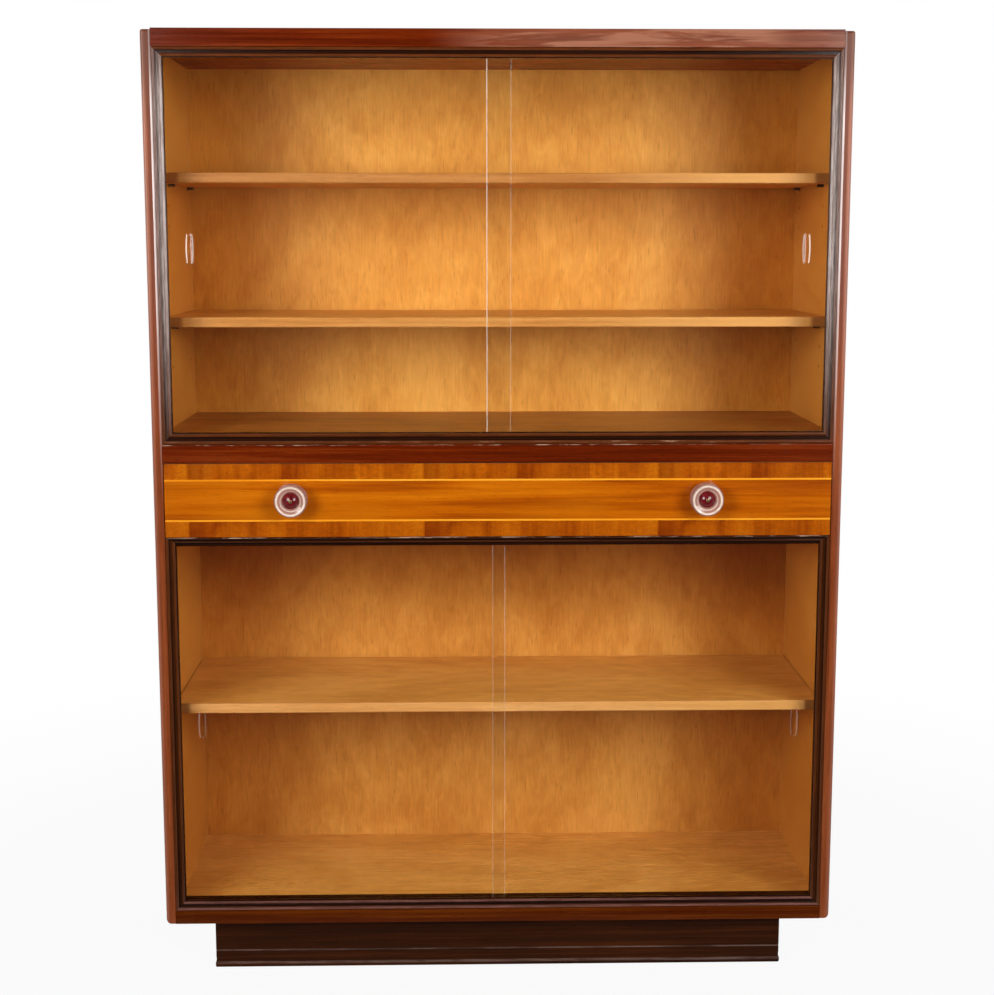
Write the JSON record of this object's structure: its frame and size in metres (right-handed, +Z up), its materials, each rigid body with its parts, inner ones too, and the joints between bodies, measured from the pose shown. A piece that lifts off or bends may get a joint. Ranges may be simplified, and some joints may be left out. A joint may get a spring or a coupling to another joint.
{
  "type": "bookcase with sliding glass panes and a drawer",
  "caption": "Tall wooden bookcase with sliding glass panes above and below a wide veneered drawer, adjustable shelves on pins inside and a recessed plinth.",
  "frame": {"origin": "on the floor, under the middle of the overall width and depth (knobs included)", "axes": "+Z up, +X to the viewer's right in front of the case, +Y from the front to the back"},
  "size_m": [1.1, 0.406, 1.535],
  "materials": {
    "case_wood": "satin lacquer, reddish brown",
    "rail_wood": "satin lacquer, red brown",
    "dark_moulding": "dark stain, semi-gloss",
    "inner_veneer": "satin, honey-coloured",
    "shelf_lipping": "satin, light",
    "dark_plinth": "dark stain, satin",
    "plain_wood": "unfinished",
    "centre_veneer": "gloss lacquer, lengthwise grain",
    "crossband_veneer": "gloss lacquer, upright grain",
    "string_veneer": "gloss lacquer, light",
    "pane_glass": "clear, ground finger pulls",
    "knob_clear": "clear, faintly pink",
    "knob_red": "dark red, polished",
    "bolt_brass": "worn",
    "dark_steel": "darkened"
  },
  "bodies": {
    "carcass": {"bottom_board": "case_wood", "bottom_rail": "rail_wood", "drawer_floor_board": "inner_veneer", "drawer_kickers": "plain_wood", "drawer_stops": "plain_wood", "left_side_panel": "case_wood", "lower_back_panel": "inner_veneer", "lower_head_track": "dark_moulding", "lower_moulding_bottom": "dark_moulding", "lower_moulding_left": "dark_moulding", "lower_moulding_right": "dark_moulding", "lower_moulding_top": "dark_moulding", "lower_shelf": "inner_veneer", "lower_shelf_lipping": "shelf_lipping", "lower_sill_track": "dark_moulding", "mid_rail": "rail_wood", "plinth_back": "plain_wood", "plinth_front": "dark_plinth", "plinth_glue_blocks": "plain_wood", "plinth_left": "dark_plinth", "plinth_right": "dark_plinth", "right_side_panel": "case_wood", "shelf_pins": "dark_steel", "top_board": "case_wood", "top_rail": "rail_wood", "upper_back_panel": "inner_veneer", "upper_floor_board": "inner_veneer", "upper_head_track": "dark_moulding", "upper_moulding_bottom": "dark_moulding", "upper_moulding_left": "dark_moulding", "upper_moulding_right": "dark_moulding", "upper_moulding_top": "dark_moulding", "upper_shelf_low": "inner_veneer", "upper_shelf_low_lipping": "shelf_lipping", "upper_shelf_top": "inner_veneer", "upper_shelf_top_lipping": "shelf_lipping", "upper_sill_track": "dark_moulding"},
    "drawer": {"drawer_front_core": "plain_wood", "drawer_centre_veneer": "centre_veneer", "drawer_crossbanding": "crossband_veneer", "drawer_stringing": "string_veneer", "drawer_left_side": "plain_wood", "drawer_right_side": "plain_wood", "drawer_back": "plain_wood", "drawer_bottom": "plain_wood", "knob_bodies": "knob_clear", "knob_domes": "knob_red", "knob_bolts": "bolt_brass", "knob_nuts": "dark_steel"},
    "upper_left_pane": {"upper_left_pane": "pane_glass"},
    "upper_right_pane": {"upper_right_pane": "pane_glass"},
    "lower_left_pane": {"lower_left_pane": "pane_glass"},
    "lower_right_pane": {"lower_right_pane": "pane_glass"}
  },
  "joints": [
    {"name": "drawer_slide", "type": "slide", "parent": "carcass", "child": "drawer", "axis": [0, -1, 0], "range_m": [0, 0.24]},
    {"name": "upper_left_pane_slide", "type": "slide", "parent": "carcass", "child": "upper_left_pane", "axis": [1, 0, 0], "range_m": [0, 0.513]},
    {"name": "upper_right_pane_slide", "type": "slide", "parent": "carcass", "child": "upper_right_pane", "axis": [1, 0, 0], "range_m": [-0.513, 0]},
    {"name": "lower_left_pane_slide", "type": "slide", "parent": "carcass", "child": "lower_left_pane", "axis": [1, 0, 0], "range_m": [0, 0.522]},
    {"name": "lower_right_pane_slide", "type": "slide", "parent": "carcass", "child": "lower_right_pane", "axis": [1, 0, 0], "range_m": [-0.522, 0]}
  ]
}
